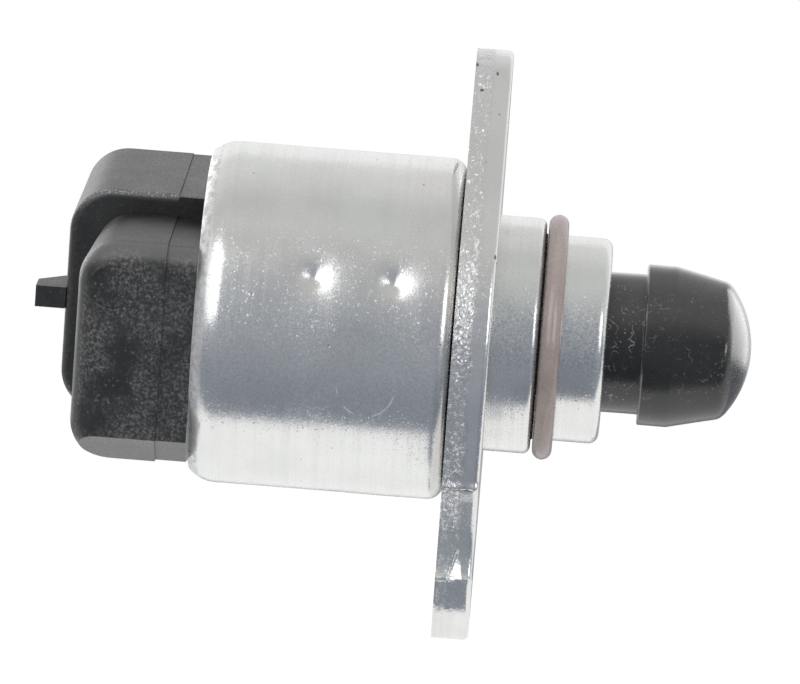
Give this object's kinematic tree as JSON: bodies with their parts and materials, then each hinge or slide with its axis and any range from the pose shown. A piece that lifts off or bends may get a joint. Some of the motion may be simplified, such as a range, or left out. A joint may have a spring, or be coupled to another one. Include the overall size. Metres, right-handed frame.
{
  "type": "idle air control valve",
  "caption": "Idle air control valve: a stepper motor can on a two-ear flange, with a domed pintle that slides from its sealed nose and a blade connector at the rear.",
  "frame": {"origin": "on the valve's axis, at the front (mounting) face of the flange", "axes": "+X along the axis towards the pintle, +Z along the flange towards its upper ear, +Y away from the closed back of the connector"},
  "size_m": [0.0663, 0.0387, 0.0546],
  "materials": {
    "zinc_can": "zinc plated drawn steel, satin",
    "zinc_plate": "zinc plated stamped steel, sheared edges",
    "zinc_turned": "zinc plated turned steel, satin",
    "seal_rubber": "brown rubber, matte",
    "pintle_plastic": "black moulded plastic, dusty matte",
    "connector_plastic": "black moulded plastic, satin",
    "nut_plastic": "natural moulded plastic",
    "magnet": "dark sintered magnet",
    "bronze": "sintered bronze",
    "bearing_steel": "ground steel",
    "screw_steel": "plain steel",
    "pole_steel": "plated sheet steel",
    "bobbin_plastic": "natural moulded plastic",
    "copper": "enamelled copper wire",
    "terminal_tin": "tinned brass"
  },
  "bodies": {
    "housing": {"motor_can": "zinc_can", "mounting_flange": "zinc_plate", "nose_hub": "zinc_turned", "o_ring": "seal_rubber", "screw_guide": "bronze", "pintle_spring": "screw_steel", "bearing_outer_race": "bearing_steel", "rear_bush": "bronze", "bowed_washer": "screw_steel", "front_pole_cup": "pole_steel", "front_pole_plate": "pole_steel", "rear_pole_plate": "pole_steel", "rear_pole_cup": "pole_steel", "front_bobbin": "bobbin_plastic", "rear_bobbin": "bobbin_plastic", "front_coil": "copper", "rear_coil": "copper", "end_cap": "connector_plastic", "terminal_1": "terminal_tin", "terminal_2": "terminal_tin", "terminal_3": "terminal_tin", "terminal_4": "terminal_tin", "end_cap_seal": "seal_rubber"},
    "rotor": {"rotor_nut": "nut_plastic", "rotor_magnet": "magnet", "bearing_inner_race": "bearing_steel"},
    "ball_train": {"bearing_balls": "bearing_steel", "bearing_cage": "bronze"},
    "valve": {"pintle": "pintle_plastic", "lead_screw": "screw_steel"}
  },
  "joints": [
    {"name": "rotor_spin", "type": "hinge", "parent": "housing", "child": "rotor", "pos_m": [-0.0121, 0, 0], "axis": [-1, 0, 0], "range_deg": [-1080, 1440]},
    {"name": "ball_train_spin", "type": "hinge", "parent": "housing", "child": "ball_train", "pos_m": [-0.00288, 0, 0], "axis": [-1, 0, 0], "range_deg": [-436.5, 582]},
    {"name": "pintle_slide", "type": "slide", "parent": "housing", "child": "valve", "axis": [1, 0, 0], "range_m": [-0.003, 0.004], "deforming": ["pintle_spring"]}
  ],
  "couplings": [
    {"joint": "rotor_spin", "follows": "pintle_slide", "rad_per_m": 6283.2},
    {"joint": "ball_train_spin", "follows": "pintle_slide", "rad_per_m": 2539.4}
  ]
}
